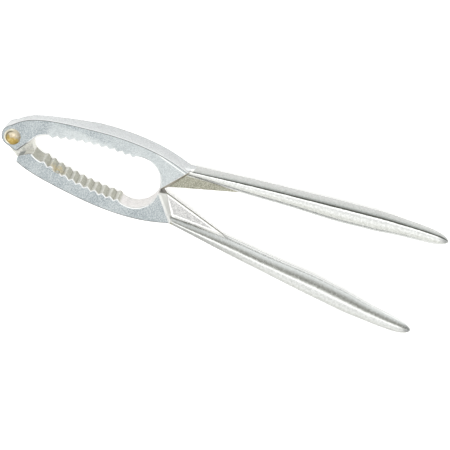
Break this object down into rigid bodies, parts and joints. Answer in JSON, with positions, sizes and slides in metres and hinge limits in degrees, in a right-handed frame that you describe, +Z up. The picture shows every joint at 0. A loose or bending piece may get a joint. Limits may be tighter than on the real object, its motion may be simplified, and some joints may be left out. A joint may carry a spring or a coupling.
{
  "type": "nutcracker",
  "caption": "Hand-held lever nutcracker with a toothed loop head, riveted pivot at the end and long tapering handles.",
  "frame": {"origin": "on the pivot axis, at the flat face the tool rests on", "axes": "+X along the bisector of the two levers, from the pivot to the handle tips; +Y towards the upper arm; +Z up out of the resting face, towards the rivet's domed head"},
  "size_m": [0.1919, 0.0492, 0.0135],
  "materials": {
    "cast_metal": "satin die casting with a fine grain",
    "brass": "bright, lightly tarnished"
  },
  "bodies": {
    "upper_lever": {"upper_arm": "cast_metal", "pivot_rivet": "brass"},
    "lower_lever": {"lower_arm": "cast_metal"}
  },
  "joints": [
    {"name": "pivot", "type": "hinge", "parent": "lower_lever", "child": "upper_lever", "pos_m": [0, 0, 0.006], "axis": [0, 0, 1], "range_deg": [-0.9, 180]}
  ]
}
